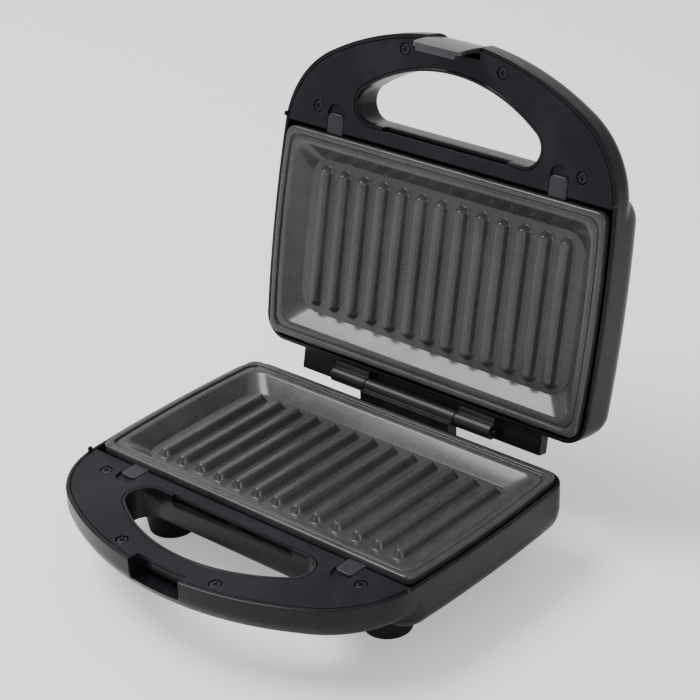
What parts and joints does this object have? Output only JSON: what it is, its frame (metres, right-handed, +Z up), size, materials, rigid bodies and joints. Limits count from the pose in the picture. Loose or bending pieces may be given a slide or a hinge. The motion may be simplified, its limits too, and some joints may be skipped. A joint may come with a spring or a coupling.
{
  "type": "panini press",
  "caption": "Open clamshell sandwich press: D-shaped halves with hand slots, ribbed non-stick plates, rear hinge, front latch clip and plate release buttons.",
  "frame": {"origin": "centre of the open press's footprint on the surface under its feet", "axes": "+Z up, +Y from the handles towards the hinge, +X along the hinge axis"},
  "size_m": [0.244, 0.2798, 0.2673],
  "materials": {
    "casing": "moulded, glossy",
    "cover": "fine satin",
    "plated_steel": "pressed, plated",
    "element_sheath": "heat darkened",
    "ceramic": "unglazed",
    "screw_steel": "dark plated",
    "spring_steel": "drawn wire",
    "button": "satin",
    "nonstick": "speckled non-stick coating",
    "hinge_plastic": "satin",
    "latch": "satin grey",
    "rubber": "matt",
    "lamp_glass": "clear",
    "red_lens": "tinted",
    "green_lens": "tinted"
  },
  "bodies": {
    "base": {"base_shell": "casing", "base_cover": "cover", "base_heat_tray": "plated_steel", "base_heating_element": "element_sheath", "base_element_end_caps": "ceramic", "base_element_supports": "plated_steel", "base_cover_screws": "screw_steel", "base_tray_screws": "screw_steel", "base_thermostat": "ceramic", "base_left_release_spring": "spring_steel", "base_right_release_spring": "spring_steel", "lower_grill_plate": "nonstick", "base_hinge_barrel": "hinge_plastic", "hinge_pin": "screw_steel", "thermal_fuse": "ceramic", "terminal_block": "ceramic", "cable_inlet": "rubber", "front_left_foot": "rubber", "front_right_foot": "rubber", "rear_left_foot": "rubber", "rear_right_foot": "rubber"},
    "lid": {"lid_shell": "casing", "lid_cover": "cover", "lid_heat_tray": "plated_steel", "lid_heating_element": "element_sheath", "lid_element_end_caps": "ceramic", "lid_element_supports": "plated_steel", "lid_cover_screws": "screw_steel", "lid_tray_screws": "screw_steel", "lid_thermostat": "ceramic", "lid_left_release_spring": "spring_steel", "lid_right_release_spring": "spring_steel", "lid_hinge_barrels": "hinge_plastic", "upper_grill_plate": "nonstick", "latch_pin": "screw_steel", "indicator_lamps": "lamp_glass", "power_lens": "red_lens", "ready_lens": "green_lens"},
    "latch": {"latch_clip": "latch"},
    "base_left_button": {"base_left_release_button": "button"},
    "base_right_button": {"base_right_release_button": "button"},
    "lid_left_button": {"lid_left_release_button": "button"},
    "lid_right_button": {"lid_right_release_button": "button"}
  },
  "joints": [
    {"name": "lid_hinge", "type": "hinge", "parent": "base", "child": "lid", "pos_m": [0, 0.07573, 0.056], "axis": [1, 0, 0], "range_deg": [0, 102]},
    {"name": "latch_pivot", "type": "hinge", "parent": "lid", "child": "latch", "pos_m": [0, 0.13094, 0.25804], "axis": [1, 0, 0], "range_deg": [-20, 6]},
    {"name": "base_left_release", "type": "slide", "parent": "base", "child": "base_left_button", "axis": [0, -1, 0], "range_m": [0, 0.003], "stiffness_N_per_m": 250, "springref_m": -0.001, "deforming": ["base_left_release_spring"]},
    {"name": "base_right_release", "type": "slide", "parent": "base", "child": "base_right_button", "axis": [0, -1, 0], "range_m": [0, 0.003], "stiffness_N_per_m": 250, "springref_m": -0.001, "deforming": ["base_right_release_spring"]},
    {"name": "lid_left_release", "type": "slide", "parent": "lid", "child": "lid_left_button", "axis": [0, 0.2079, 0.9781], "range_m": [0, 0.003], "stiffness_N_per_m": 250, "springref_m": -0.001, "deforming": ["lid_left_release_spring"]},
    {"name": "lid_right_release", "type": "slide", "parent": "lid", "child": "lid_right_button", "axis": [0, 0.2079, 0.9781], "range_m": [0, 0.003], "stiffness_N_per_m": 250, "springref_m": -0.001, "deforming": ["lid_right_release_spring"]}
  ]
}
